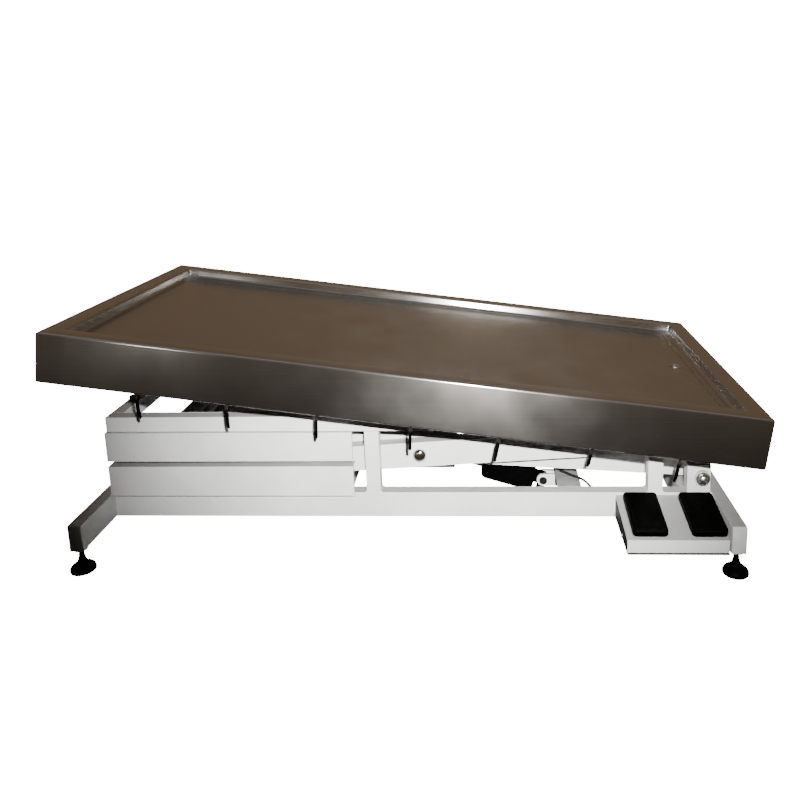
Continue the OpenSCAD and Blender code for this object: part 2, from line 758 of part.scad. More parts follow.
// Share of the sheet's thickness by which the bend's outer corner lies outside the inner one, both ways
mitre = 0.82;
module basin(drop, top) {
  c = 2 * mitre * drop;
  stack([[2 * pan_x, 2 * pan_y, pan_z - drop], [apron_len + c, apron_wid + c, -slope_d - c / 2],
    [open_len + 2 * drop, open_wid + 2 * drop, -drop], [open_len + 2 * drop, open_wid + 2 * drop, top]]);
}
module tray_top() {
  color("#6a5b4b") on_tray() difference() {
    union() {
      slab([-tray_len / 2, -tray_wid / 2, -sheet], [tray_len / 2, tray_wid / 2, 0]);
      basin(sheet, 0);
    }
    basin(0, over);
    translate([drain_x, 0, pan_low - over]) cylinder(r = drain_r + fit, h = sheet + 2 * over);
  }
}
module tray_skirt() {
  x = tray_len / 2;
  y = tray_wid / 2;
  color("#77756f") on_tray() difference() {
    slab([-x, -y, -skirt_h], [x, y, -sheet]);
    slab([sheet - x, sheet - y, sheet - skirt_h], [x - sheet, y - sheet, over]);
    slab([skirt_lip - x, skirt_lip - y, -skirt_h - over], [x - skirt_lip, y - skirt_lip, over]);
  }
}
// Bar and hats under the pan, with the plates that the tray turns on
stiff_h = 6;
bar_back = 86;
bar_w = 34;
bar_x0 = hinge_lx - bar_back;
bar_x1 = bar_x0 + bar_w;
hat_y = 120;
hat_w = 30;
hat_end = 54;
hat_x = pan_x - hat_end;
hinge_plate_r = 15;
module tray_stiffeners() {
  py = rail_y + plate_gap + plate_t;
  color("#a9a7a1") on_tray() {
    slab([bar_x0, -py, pan_low - stiff_h], [bar_x1, py, pan_low]);
    both_sides() for (s = [[-hat_x, bar_x0 - seat_gap], [bar_x1 + seat_gap, hat_x]])
      slab([s[0], -hat_y - hat_w / 2, pan_low - stiff_h], [s[1], -hat_y + hat_w / 2, pan_low]);
  }
}
module tray_hinge_plates() {
  py = rail_y + plate_gap;
  low = pan_low - stiff_h;
  color("#a9a7a1") on_tray() both_sides() difference() {
    union() {
      bar(hinge_lx, -hinge_drop, -py - plate_t, -py, hinge_plate_r);
      translate([0, -py, 0]) rotate([90, 0, 0]) linear_extrude(plate_t)
        polygon([[bar_x0, low], [hinge_lx - hinge_plate_r, -hinge_drop - hinge_plate_r / 2],
          [hinge_lx, -hinge_drop + hinge_plate_r / 2], [bar_x1, low]]);
    }
    bar(hinge_lx, -hinge_drop, -py - plate_t - over, -py + over, pin_r + fit);
  }
}
// The tilt drive's lugs and pin under the pan
lug_x = 4.7;
lug_drop = 31.5;
lug_end_r = 7.5;
tilt_q = [tray_cx + lug_x * cos(tray_tilt) - lug_drop * sin(tray_tilt),
  tray_z - lug_x * sin(tray_tilt) - lug_drop * cos(tray_tilt)];
module tray_lugs() {
  y0 = tilt_eye_w / 2 + ear_gap;
  color("#a9a7a1") on_tray() {
    for (a = [tilt_y - y0 - tilt_ear_t, tilt_y + y0]) difference() {
      union() {
        bar(lug_x, -lug_drop, a, a + tilt_ear_t, lug_end_r);
        slab([lug_x - lug_end_r, a, -lug_drop], [lug_x + lug_end_r, a + tilt_ear_t, pan_low]);
      }
      bar(lug_x, -lug_drop, a - over, a + tilt_ear_t + over, tilt_pin_r + fit);
    }
    bar(lug_x, -lug_drop, tilt_y - y0 - tilt_ear_t - head_t, tilt_y + y0 + tilt_ear_t + head_t, tilt_pin_r);
  }
}
// Hooks under the skirt: a rod in a black sleeve that bends inward at its end
hook_y = tray_wid / 2 - skirt_lip / 2;
hook_bare_share = 0.26;
hook_len_shares = [1, 0.96, 0.92, 0.94, 0.98, 0.74, 0.92];
hook_leans = [-11, -8, -5, -4.5, 4, 5, 3];
hook_shift = 22;
// The hooks are set by eye, so each stands a little off its even place
hook_offs = [3, 2, -1, 3, -3, -4, -15];
hook_bend_r = 40;
hook_bend = 22;
hook_foot_r = 4;
hook_foot_t = 1.5;
hook_pocket = 5;
module on_hook(i) {
  translate([hook_shift + (i - (hook_count - 1) / 2) * hook_pitch + hook_offs[i % len(hook_offs)],
    -hook_y, -skirt_h]) children();
}
module hook_lean(i) {
  rotate([0, hook_leans[i % len(hook_leans)], 0]) children();
}
function hook_straight(i) = hook_len * hook_len_shares[i % len(hook_len_shares)] - hook_bend_r * sin(hook_bend);
module hook_rods() {
  color("#b9b9b7") on_tray() both_sides() for (i = [0:hook_count - 1]) on_hook(i) {
    translate([0, 0, -hook_foot_t]) cylinder(r = hook_foot_r, h = hook_foot_t);
    hook_lean(i) translate([0, 0, -hook_len * hook_bare_share - hook_pocket])
      cylinder(r = hook_rod_r, h = hook_len * hook_bare_share + hook_pocket - hook_foot_t / 2);
  }
}
module hook_sleeves() {
  color("#141414") on_tray() both_sides() for (i = [0:hook_count - 1]) on_hook(i) hook_lean(i) {
    difference() {
      translate([0, 0, -hook_straight(i)])
        cylinder(r = hook_sleeve_r, h = hook_straight(i) - hook_len * hook_bare_share);
      translate([0, 0, -hook_len * hook_bare_share - hook_pocket])
        cylinder(r = hook_rod_r + fit, h = hook_pocket + over);
    }
    translate([0, hook_bend_r, -hook_straight(i)]) rotate([0, 90, 0]) rotate([0, 0, -90])
      rotate_extrude(angle = hook_bend) translate([hook_bend_r, 0]) circle(r = hook_sleeve_r);
  }
}
// Drain: a strainer in the pan and the spigot under it
strainer_r = 13.5;
strainer_t = 1.2;
spigot_len = 5.5;
spigot_wall = 1.5;
strainer_holes = 6;
strainer_hole_r = 2;
module drain_fitting() {
  color("#b0b0ae") on_tray() translate([drain_x, 0, pan_z]) difference() {
    union() {
      cylinder(r = strainer_r, h = strainer_t);
      translate([0, 0, -sheet - spigot_len]) cylinder(r = drain_r, h = sheet + spigot_len + strainer_t / 2);
    }
    translate([0, 0, -sheet - spigot_len - over]) cylinder(r = drain_r - spigot_wall, h = spigot_len + sheet + over);
    for (i = [1:strainer_holes]) rotate([0, 0, 360 / strainer_holes * i]) translate([drain_r / 2, 0, -over])
      cylinder(r = strainer_hole_r, h = strainer_t + 2 * over);
  }
}

// Both drives lie along their own axis from the rear pin, u to the rod's end and v upward
lift_len = norm([lift_q.x - anchor_x, lift_q.y - anchor_z]);
lift_rise = atan((lift_q.y - anchor_z) / (anchor_x - lift_q.x));
tilt_len = norm([tilt_q.x - tilt_px, tilt_q.y - tilt_z]);
tilt_rise = atan((tilt_q.y - tilt_z) / (tilt_px - tilt_q.x));
module on_lift() {
  translate([anchor_x, drive_y, anchor_z]) rotate([0, lift_rise, 0]) mirror([1, 0, 0]) children();
}
module on_tilt() {
  translate([tilt_px, tilt_y, tilt_z]) rotate([0, tilt_rise, 0]) mirror([1, 0, 0]) children();
}
module round_u(u0, u1, r) {
  translate([u0, 0, 0]) rotate([0, 90, 0]) cylinder(r = r, h = u1 - u0);
}
// Motor housing with its gearbox below the axis and its eye on the rear pin
lift_house_u = 18;
lift_house_end = 124;
lift_house_w = 32;
lift_house_up = 14;
lift_house_down = 28;
lift_house_r = 10;
lift_eye_r = 12;
lift_leg_w = 14;
lift_leg_down = 26;
lift_tube_r = 12;
lift_show = 94;
lift_tube_end = lift_len - lift_show;
lift_collar_r = 13;
lift_collar_len = 8;
lift_rod_r = 7;
lift_end_r = 13;
lift_play = 2;
module drive_house(u0, u1, w, up, down, r, eye_r, eye_w, pin, tube_r) {
  difference() {
    union() {
      translate([0, w / 2, 0]) rotate([90, 0, 0]) linear_extrude(w) {
        translate([u0, -down + r]) square([u1 - u0, up + down - r]);
        translate([u0, -down]) square([u1 - u0 - r, r]);
        translate([u1 - r, -down + r]) circle(r = r);
      }
      bar(0, 0, -eye_w / 2, eye_w / 2, eye_r);
      slab([0, -eye_w / 2, -eye_r], [u0, eye_w / 2, eye_r]);
    }
    bar(0, 0, -eye_w, eye_w, pin + fit);
    round_u(u1 - (u1 - u0) / 2, u1 + over, tube_r + fit);
  }
}
module lift_motor() {
  color("#1b1b1c") on_lift() {
    drive_house(lift_house_u, lift_house_end, lift_house_w, lift_house_up, lift_house_down, lift_house_r,
      lift_eye_r, eye_w, drive_pin_r, lift_tube_r);
    slab([-lift_leg_w / 2, -eye_w / 2 + ear_gap, -lift_leg_down],
      [lift_leg_w / 2, eye_w / 2 - ear_gap, -lift_eye_r + ear_gap]);
  }
}
module drive_tube(u0, u1, r, rod_r, collar_r, collar_len) {
  difference() {
    union() {
      round_u(u0, u1, r);
      round_u(u1 - collar_len, u1, collar_r);
    }
    round_u(u0 + collar_len, u1 + over, rod_r + fit);
  }
}
lift_tube_u = (lift_house_end + lift_house_u) / 2 + seat_gap;
module lift_tube() {
  color("#c9cacb") on_lift() drive_tube(lift_tube_u, lift_tube_end, lift_tube_r, lift_rod_r, lift_collar_r, lift_collar_len);
}
module drive_rod(u0, len, r, end_r, eye, bore) {
  difference() {
    union() {
      round_u(u0, len - end_r / 2, r);
      bar(len, 0, -eye / 2, eye / 2, end_r);
    }
    bar(len, 0, -eye, eye, bore);
  }
}
// The rod runs back into its tube by this share of the tube's bore
rod_share = 0.54;
module lift_rod() {
  color("#dcdddd") on_lift() drive_rod(
    lift_tube_end - rod_share * (lift_tube_end - lift_tube_u - lift_collar_len), lift_len, lift_rod_r, lift_end_r,
    2 * drive_half - 2 * ear_gap, drive_pin_r + lift_play);
}
tilt_house_u = 16;
tilt_house_end = 110;
tilt_house_half = 14;
tilt_house_r = 6;
tilt_eye_r = 8.5;
tilt_tube_r = 10;
tilt_show = 112;
tilt_tube_end = tilt_len - tilt_show;
tilt_collar_r = 10.5;
tilt_rod_r = 5.5;
tilt_play = 1.8;
module tilt_motor() {
  color("#1b1b1c") on_tilt() drive_house(tilt_house_u, tilt_house_end, 2 * tilt_house_half, tilt_house_half,
    tilt_house_half, tilt_house_r, tilt_eye_r, tilt_eye_w, tilt_pin_r, tilt_tube_r);
}
tilt_tube_u = (tilt_house_end + tilt_house_u) / 2 + seat_gap;
module tilt_tube() {
  color("#c9cacb") on_tilt() drive_tube(tilt_tube_u, tilt_tube_end, tilt_tube_r, tilt_rod_r, tilt_collar_r, lift_collar_len);
}
module tilt_rod() {
  color("#dcdddd") on_tilt() drive_rod(
    tilt_tube_end - rod_share * (tilt_tube_end - tilt_tube_u - lift_collar_len), tilt_len, tilt_rod_r, tilt_eye_r,
    tilt_eye_w, tilt_pin_r + tilt_play);
}

base_rails();
foot_beams();
beam_end_caps();
cross_members();
lift_anchor_angle();
lift_anchor_ears();
lift_anchor_pin();
posts();
lower_tracks();
pivot_brackets();
base_pivot_pins();
cover_upper();
cover_lower();
control_box();
motor_lead();
pedal_base();
pedal_base_plate();
foot_inserts();
inner_arms();
inner_cross_tubes();
upper_roller_axles();
outer_arms();
outer_cross_tubes();
torque_tube();
lift_lever();
lever_pin();
centre_bolts();
lower_roller_axles();
roller_low_front();
roller_low_rear();
roller_up_front();
roller_up_rear();
frame_side_tubes();
frame_cross_tubes();
upper_tracks();
upper_hinge_blocks();
frame_pivot_pins();
tilt_anchor_ears();
rest_buffers();
tray_top();
tray_skirt();
tray_stiffeners();
tray_hinge_plates();
tray_lugs();
hook_rods();
hook_sleeves();
drain_fitting();
lift_motor();
lift_tube();
lift_rod();
tilt_motor();
tilt_tube();
tilt_rod();
pedal_left();
pedal_right();
foot_front_left();
foot_front_right();
foot_rear_left();
foot_rear_right();
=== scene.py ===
"""Veterinary exam table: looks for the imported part, in metres, in the part's own frame.
X runs along the table towards the pedals, Y away from the working side, Z up from the floor."""
import json
import math

import bmesh
import bpy
import numpy as np
from mathutils import Matrix, Vector

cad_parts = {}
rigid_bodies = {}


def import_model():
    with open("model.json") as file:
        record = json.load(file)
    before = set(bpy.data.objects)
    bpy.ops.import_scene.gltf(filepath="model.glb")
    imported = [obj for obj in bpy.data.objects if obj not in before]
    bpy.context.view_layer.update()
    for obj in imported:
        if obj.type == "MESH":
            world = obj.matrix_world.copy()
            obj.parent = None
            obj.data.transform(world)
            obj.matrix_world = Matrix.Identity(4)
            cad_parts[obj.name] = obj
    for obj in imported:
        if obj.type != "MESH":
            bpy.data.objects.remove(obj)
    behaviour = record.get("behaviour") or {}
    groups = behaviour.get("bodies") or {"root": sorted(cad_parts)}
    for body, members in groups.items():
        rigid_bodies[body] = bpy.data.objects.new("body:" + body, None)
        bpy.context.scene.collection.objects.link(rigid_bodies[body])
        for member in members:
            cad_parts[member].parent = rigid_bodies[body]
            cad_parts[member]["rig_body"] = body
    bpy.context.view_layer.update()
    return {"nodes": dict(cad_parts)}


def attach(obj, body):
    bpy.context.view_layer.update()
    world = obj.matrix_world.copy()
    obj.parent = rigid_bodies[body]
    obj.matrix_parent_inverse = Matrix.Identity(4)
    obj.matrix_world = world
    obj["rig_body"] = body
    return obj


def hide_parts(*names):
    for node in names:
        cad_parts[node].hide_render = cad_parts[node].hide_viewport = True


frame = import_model()

# Camera at the photograph's place: in front of the table, a little right of its middle, higher than the tray.
# It looks slightly down and to the left. The focal length and the centre are in pixels of the square picture.
camera_place = (0.1628, -1.5904, 0.7845)
yaw, pitch, roll = (math.radians(a) for a in (-2.99, 10.90, -1.44))
picture, focal, centre_u, centre_v = 800, 761.8, 450, 269.8
sensor = 36
ahead = Vector((math.sin(yaw) * math.cos(pitch), math.cos(yaw) * math.cos(pitch), -math.sin(pitch)))
right = Vector((math.cos(yaw), -math.sin(yaw), 0))
up = right.cross(ahead)
right, up = (math.cos(roll) * right + math.sin(roll) * up, math.cos(roll) * up - math.sin(roll) * right)
camera = bpy.data.objects.new("camera", bpy.data.cameras.new("camera"))
bpy.context.scene.collection.objects.link(camera)
bpy.context.scene.camera = camera
camera.matrix_world = Matrix((
    (right.x, up.x, -ahead.x, camera_place[0]),
    (right.y, up.y, -ahead.y, camera_place[1]),
    (right.z, up.z, -ahead.z, camera_place[2]),
    (0, 0, 0, 1)))
camera.data.sensor_width = sensor
camera.data.lens = sensor * focal / picture
camera.data.shift_x = (picture / 2 - centre_u) / picture
camera.data.shift_y = (centre_v - picture / 2) / picture
camera.data.clip_start, camera.data.clip_end = 0.05, 60


# Drive lead: a 5 mm rubber cable from the lift drive to the control box, limp and black.
# It passes the anchor's flange, turns down behind the front rail and runs along it to the box.
def colour(code):
    """sRGB hex to linear, so that a finish is written as it looks."""
    parts = [int(code[i:i + 2], 16) / 255 for i in (1, 3, 5)]
    return [c / 12.92 if c <= 0.04045 else ((c + 0.055) / 1.055) ** 2.4 for c in parts] + [1]


def node(tree, kind, links=(), **settings):
    """Adds one shader node. Settings name its properties or inputs, and links are (input, source socket)."""
    made = tree.nodes.new(kind)
    for key, value in settings.items():
        if hasattr(made, key):
            setattr(made, key, value)
        else:
            made.inputs[key.replace("_", " ")].default_value = value
    for key, source in links:
        tree.links.new(source, made.inputs[key])
    return made


def finish(name, dark, light, pattern, relief=None, rough=None, dust=None, **settings):
    """A material that mottles between two colours. pattern, relief and rough are settings of noise over the
    object's coordinates: pattern mixes the colours, relief (noise, depth in mm, strength) raises the surface,
    and rough (noise, least, most) varies the roughness. dust (colour, cover) is painted shade that
    darkens the faces that look up. The rest are fixed values of the shader."""
    material = bpy.data.materials.new(name)
    material.use_nodes = True
    tree = material.node_tree
    shader = tree.nodes["Principled BSDF"]
    for key, value in settings.items():
        shader.inputs[key.replace("_", " ")].default_value = value
    place = tree.nodes.new("ShaderNodeTexCoord").outputs["Object"]
    # Nearly all of a noise's values lie between these two
    lowest, highest = 0.3, 0.7

    def noise(values):
        values = dict(values)
        stretch = values.pop("stretch", None)
        source = place
        if stretch:
            source = node(tree, "ShaderNodeMapping", [("Vector", place)], Scale=stretch).outputs["Vector"]
        return node(tree, "ShaderNodeTexNoise", [("Vector", source)], **values).outputs["Fac"]

    spread = node(tree, "ShaderNodeMapRange", [("Value", noise(pattern))], From_Min=lowest, From_Max=highest)
    tone = node(tree, "ShaderNodeMix", [("Factor", spread.outputs["Result"])], data_type="RGBA")
    tone.inputs["A"].default_value, tone.inputs["B"].default_value = colour(dark), colour(light)
    # Painted shade: the further up a face looks, the more its colour turns to the given grey
    if dust:
        facing = node(tree, "ShaderNodeSeparateXYZ",
                      [("Vector", tree.nodes.new("ShaderNodeNewGeometry").outputs["Normal"])])
        cover = node(tree, "ShaderNodeMapRange", [("Value", facing.outputs["Z"])],
                     From_Min=0.35, From_Max=0.95, To_Max=dust[1])
        tone = node(tree, "ShaderNodeMix",
                    [("Factor", cover.outputs["Result"]), ("A", tone.outputs["Result"])], data_type="RGBA")
        tone.inputs["B"].default_value = colour(dust[0])
    tree.links.new(tone.outputs["Result"], shader.inputs["Base Color"])
    if relief:
        raised = node(tree, "ShaderNodeBump", [("Height", noise(relief[0]))],
                      Distance=relief[1] / 1000, Strength=relief[2])
        tree.links.new(raised.outputs["Normal"], shader.inputs["Normal"])
    if rough:
        varied = node(tree, "ShaderNodeMapRange", [("Value", noise(rough[0]))],
                      From_Min=lowest, From_Max=highest, To_Min=rough[1], To_Max=rough[2])
        tree.links.new(varied.outputs["Result"], shader.inputs["Roughness"])
    return material


def piece(name, grids, material, body, stands_for=(), closing="ends", sharp=40):
    """One piece from grids of points in millimetres, each [row, place along the row, xyz]. A grid's cells are
    its faces. With closing "ends" each row is a ring, and the first and last ring get one flat face each, or
    meet in a pole; with "ring" the last row also joins the first; with "open" nothing is joined."""
    points, faces, start = [], [], 0
    for grid in grids:
        rows, cols = grid.shape[:2]
        r = np.arange(rows if closing == "ring" else rows - 1)[:, None]
        c = np.arange(cols - 1 if closing == "open" else cols)[None, :]
        nr, nc = (r + 1) % rows, (c + 1) % cols
        around = (r * cols + c, r * cols + nc, nr * cols + nc, nr * cols + c)
        cells = np.stack(np.broadcast_arrays(*around), -1)
        faces += (cells.reshape(-1, 4) + start).tolist()
        if closing == "ends":
            faces += [(np.arange(cols)[::-1] + start).tolist(),
                      (np.arange(cols) + (rows - 1) * cols + start).tolist()]
        points.append(grid.reshape(-1, 3) / 1000)
        start += rows * cols
    mesh = bpy.data.meshes.new(name)
    mesh.from_pydata(np.concatenate(points).tolist(), [], faces)
    if closing == "ends":
        work = bmesh.new()
        work.from_mesh(mesh)
        bmesh.ops.remove_doubles(work, verts=work.verts, dist=1e-7)
        bmesh.ops.dissolve_degenerate(work, edges=work.edges, dist=1e-7)
        bmesh.ops.recalc_face_normals(work, faces=work.faces)
        work.to_mesh(mesh)
        work.free()
    mesh.update()
    mesh.polygons.foreach_set("use_smooth", [True] * len(mesh.polygons))
    mesh.set_sharp_from_angle(angle=math.radians(sharp))
    mesh.materials.append(material)
    thing = bpy.data.objects.new(name, mesh)
    bpy.context.scene.collection.objects.link(thing)
    if body:
        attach(thing, body)
    if stands_for:
        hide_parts(*stands_for)
    return thing


def spline(knots, steps):
    """Points on a smooth curve through the knots: between two of them it is the cubic that passes through
    both and is parallel, at each, to the line between its neighbours (Catmull-Rom)."""
    p = np.array(knots, float)
    p = np.concatenate([p[:1], p, p[-1:]])
    a, b, c, d = p[:-3, None], p[1:-2, None], p[2:-1, None], p[3:, None]
    t = (np.arange(steps) / steps)[None, :, None]
    square, cube = 2 * a - 5 * b + 4 * c - d, 3 * b - a - 3 * c + d
    curve = 0.5 * (2 * b + (c - a) * t + square * t ** 2 + cube * t ** 3)
    return np.concatenate([curve.reshape(-1, 3), p[-1:]])


def swept(line, radius, sides=16, across=(0.35, 0.35, 0.87)):
    """Rings of a round bar along a line: radius away from each point, square to the line there. radius may be
    one number or one for each point. across is any direction that the line never runs along."""
    line = np.array(line, float)
    run = np.gradient(line, axis=0)
    run /= np.linalg.norm(run, axis=1, keepdims=True)
    side = np.cross(run, across)
    side /= np.linalg.norm(side, axis=1, keepdims=True)
    turn = np.linspace(0, 2 * np.pi, sides, endpoint=False)[None, :, None]
    reach = np.broadcast_to(radius, len(line))[:, None, None]
    ring = np.cos(turn) * side[:, None] + np.sin(turn) * np.cross(run, side)[:, None]
    return line[:, None] + reach * ring


lead_width = 5
lead_route = [(298, -165, 98.5), (316, -183, 98.5), (338, -203, 98), (352, -213, 88), (357, -216, 74),
              (348, -215, 62), (330, -215, 60), (300, -217, 59), (200, -220, 58), (100, -220, 58),
              (0, -220, 58), (-60, -218, 58), (-84, -204, 60), (-90, -170, 62), (-90, -110, 66),
              (-90, -45, 66)]
lead_line = spline(lead_route, 8)
# Cable sheath: black rubber, dull, with the fine grain of an extruded skin about 0.6 mm apart
sheath = finish("rubber_sheath", "#010101", "#040404", dict(Scale=300, Detail=3),
                relief=(dict(Scale=1600, Detail=1), 0.1, 0.3), Roughness=0.6)
lead = piece("drive_lead", [swept(lead_line, lead_width / 2)], sheath, "base", ["motor_lead"])

# Studio: a plain pale floor that curves up behind the table, one sheet of matt painted board.
# It isn't part of the object. It is bright enough to stay white where the lamps hardly reach it.
paint = finish("studio_paint", "#f7f7f6", "#fbfbfb", dict(Scale=3, Detail=3), Roughness=0.9,
               Specular_IOR_Level=0.1, Emission_Color=colour("#ffffff"), Emission_Strength=16)
# The sheet lies flat from 9 m before the table to 3.5 m behind it, turns up through a quarter circle and goes
# on as a straight wall
board_near, board_far, board_bend, board_wall, board_half = -9, 3.5, 2.5, 4, 12
sweep = np.linspace(0, 1, 60)
flat, bend, wall = (np.clip(sweep * 3 - i, 0, 1) for i in range(3))
line_y = board_near + (board_far - board_near) * flat + board_bend * np.sin(bend * np.pi / 2)
line_z = board_bend * (1 - np.cos(bend * np.pi / 2)) + board_wall * wall
line_x = np.linspace(-board_half, board_half, 9)
board = np.stack(np.broadcast_arrays(line_x[None, :], line_y[:, None], line_z[:, None]), -1)
studio = piece("studio_floor", [board * 1000], paint, None, closing="open")
# It neither mirrors in the steel nor lights the table's underside, which is dark in the photograph
studio.visible_glossy = studio.visible_diffuse = False


# Light: a strong flash above the camera gives the short hard shadows, and a second lamp far left the faint
# streak near the tray's left end. Soft panels near the floor light the ends and the back, hardly the tops.
def lit(name, kind, place, target, power):
    """A lamp of that kind and power at its place in metres, turned to its target."""
    lamp = bpy.data.objects.new(name, bpy.data.lights.new(name, kind))
    lamp.data.energy = power
    lamp.location = place
    lamp.rotation_euler = (Vector(target) - Vector(place)).to_track_quat("-Z", "Y").to_euler()
    bpy.context.scene.collection.objects.link(lamp)
    return lamp


flash = lit("flash", "SPOT", (0.25, -1.62, 0.96), (0.12, -0.3, 0.46), 600)
flash.data.shadow_soft_size = 0.018
flash.data.spot_size, flash.data.spot_blend = math.radians(55), 1
for name, place, target, size, power in (
        ("left_lamp", (-1.47, -3.0, 1.0), (0, 0, 0.2), 0.15, 8),
        ("left_panel", (-3.4, 1.3, 0.06), (0, 0.1, 0.3), 0.9, 34),
        ("right_panel", (3.4, 1.3, 0.06), (0, 0.1, 0.3), 0.9, 34),
        ("back_panel", (0.3, 3.4, 0.06), (0, 0, 0.3), 1.2, 60)):
    lamp = lit(name, "AREA", place, target, power)
    lamp.data.size = size
    # The panels stay out of the steel's reflections, and the left lamp shows only there
    lamp.visible_glossy = "panel" not in name
    lamp.visible_diffuse = name != "left_lamp"

# Room: what gloss sees in place of the studio, a grey floor below, a pale strip at the skirting, brown walls
# above it and a pale ceiling. Matt surfaces get a weak even light instead.
world = bpy.data.worlds.new("room")
bpy.context.scene.world = world
world.use_nodes = True
room = world.node_tree
direction = room.nodes.new("ShaderNodeTexCoord").outputs["Generated"]
height = node(room, "ShaderNodeSeparateXYZ", [("Vector", direction)])
level = node(room, "ShaderNodeMapRange", [("Value", height.outputs["Z"])], From_Min=-1, From_Max=1)
walls = node(room, "ShaderNodeValToRGB", [("Fac", level.outputs["Result"])])
stops = walls.color_ramp.elements
stops[0].position, stops[0].color = 0.30, colour("#45403a")
stops[1].position, stops[1].color = 0.40, colour("#625d57")
for place, tint in ((0.47, "#4c463e"), (0.495, "#6b665e"), (0.51, "#8f8b84"), (0.535, "#6b5846"),
                    (0.66, "#7d6a55"), (0.80, "#6a5947"), (0.88, "#8b8c8d"), (1.0, "#9d9ea0")):
    stops.new(place).color = colour(tint)
mirrored = node(room, "ShaderNodeBackground", [("Color", walls.outputs["Color"])], Strength=1.3)
room.nodes["Background"].inputs["Color"].default_value = colour("#eeeef0")
room.nodes["Background"].inputs["Strength"].default_value = 0.004
ray = node(room, "ShaderNodeLightPath")
seen = room.nodes.new("ShaderNodeMixShader")
for place, source in ((0, ray.outputs["Is Glossy Ray"]), (1, room.nodes["Background"].outputs[0]),
                      (2, mirrored.outputs[0])):
    room.links.new(source, seen.inputs[place])
room.links.new(seen.outputs[0], room.nodes["World Output"].inputs["Surface"])


# Base frame: rectangular steel tubes and plates, welded, then sprayed with white powder and baked.
# The film has a fine orange peel and rounds every edge a little, and painted shade greys the faces that look
# up.
def softened(name, radius, material, segments=2):
    """A CAD node's merged copy: its triangles are joined where they share corners, flat neighbours become one
    face, and a Bevel modifier gives each edge sharper than 35 degrees the radius in millimetres."""
    source = frame["nodes"][name]
    work = bmesh.new()
    work.from_mesh(source.data)
    bmesh.ops.remove_doubles(work, verts=work.verts, dist=1e-6)
    bmesh.ops.dissolve_limit(work, angle_limit=math.radians(1), verts=work.verts, edges=work.edges)
    mesh = bpy.data.meshes.new(name + "_finished")
    work.to_mesh(mesh)
    work.free()
    mesh.polygons.foreach_set("use_smooth", [True] * len(mesh.polygons))
    mesh.set_sharp_from_angle(angle=math.radians(35))
    mesh.materials.clear()
    mesh.materials.append(material)
    thing = bpy.data.objects.new(name + "_finished", mesh)
    bpy.context.scene.collection.objects.link(thing)
    edge = thing.modifiers.new("edge", "BEVEL")
    edge.width, edge.segments = radius / 1000, segments
    edge.limit_method, edge.angle_limit = "ANGLE", math.radians(35)
    edge.harden_normals = True
    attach(thing, source["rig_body"])
    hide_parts(name)
    return thing


# Orange peel has cells about 1.5 mm across, so 650 of them to a metre
# Faces that look up get painted shade towards a dark grey, up to 0.62 of it on faces looking straight up
coat = finish("white_powder_coat", "#c2c2bf", "#d6d6d3", dict(Scale=7, Detail=6, Roughness=0.65),
              relief=(dict(Scale=650, Detail=2), 0.4, 0.08), rough=(dict(Scale=25, Detail=4), 0.36, 0.5),
              dust=("#4f4e4b", 0.62), Coat_Weight=0.12, Coat_Roughness=0.3)
for name, radius in (("base_rails", 2.5), ("foot_beams", 2.5), ("cross_members", 2.5),
                     ("lift_anchor_ears", 0.8), ("posts", 1.5), ("lower_tracks", 0.8),
                     ("pivot_brackets", 1.2)):
    softened(name, radius, coat)
# The lift drive's anchor angle is bolted in after the frame was coated. Its darker, slightly metallic grey is
# painted shade for the shadow it lies in
zinc = finish("anchor_painted_shade", "#6f706f", "#868786", dict(Scale=60, Detail=5), Roughness=0.55,
              Specular_IOR_Level=0.3, Metallic=0.3)
softened("lift_anchor_angle", 1, zinc)
# Beam ends: light grey polyethylene caps pushed into the tubes
cap_plastic = finish("cap_polyethylene", "#bdbdb9", "#cdcdc9", dict(Scale=40, Detail=3),
                     relief=(dict(Scale=900, Detail=2), 0.2, 0.2), Roughness=0.5)
softened("beam_end_caps", 1.2, cap_plastic)

# Covers: two folded steel sheets with rounded long edges on each long side, one over the other.
# They are coated as the base is and held by the posts behind them.
for name in ("cover_upper", "cover_lower"):
    softened(name, 1.6, coat, segments=3)

# Scissor arms, cross tubes, torque tube and lever: the same tube and finish as the base.
# The arms' ends are rounded round a bush at each pivot.
for name, radius in (("inner_arms", 1.2), ("outer_arms", 1.2), ("inner_cross_tubes", 0.5),
                     ("outer_cross_tubes", 0.5), ("torque_tube", 0.8), ("lift_lever", 0.8)):
    softened(name, radius, coat)

# Upper frame: steel tubes with the upper roller tracks and hinge blocks, welded and coated as the base is.
# The arms lift it, and the tray turns on it.
for name, radius in (("frame_side_tubes", 2.5), ("frame_cross_tubes", 2.0), ("upper_tracks", 0.6),
                     ("upper_hinge_blocks", 1.2), ("tilt_anchor_ears", 0.8)):
    softened(name, radius, coat)

# Pins, axles and inserts: bright steel from the lathe, finely mottled.
# They are pressed or screwed into the brackets, blocks and tubes that carry them.
turned_steel = finish("turned_steel", "#8f8e88", "#c4c3be", dict(Scale=420, Detail=2),
                      rough=(dict(Scale=300, Detail=2), 0.22, 0.4), Metallic=1)
for name in ("base_pivot_pins", "frame_pivot_pins", "upper_roller_axles", "lower_roller_axles", "lever_pin",
             "foot_inserts"):
    softened(name, 0.5, turned_steel)


# Centre bolts: domed, chromed heads on the arms' middle, dark as polished chrome is in a dim room.
# Each bolt holds an outer arm on the end of the torque tube.
def turned(profile, centre, axis, sides=48):
    """Rings of a turned piece: each (radius, height) of its profile runs round the axis through centre."""
    axis = np.array(axis, float)
    side = np.cross(axis, (0.31, 0.52, 0.8))
    side /= np.linalg.norm(side)
    turn = np.linspace(0, 2 * np.pi, sides, endpoint=False)[None, :, None]
    ring = np.cos(turn) * side + np.sin(turn) * np.cross(axis, side)
    radius, reach = np.array(profile, float).T[:, :, None, None]
    return np.array(centre, float) + radius * ring + reach * axis


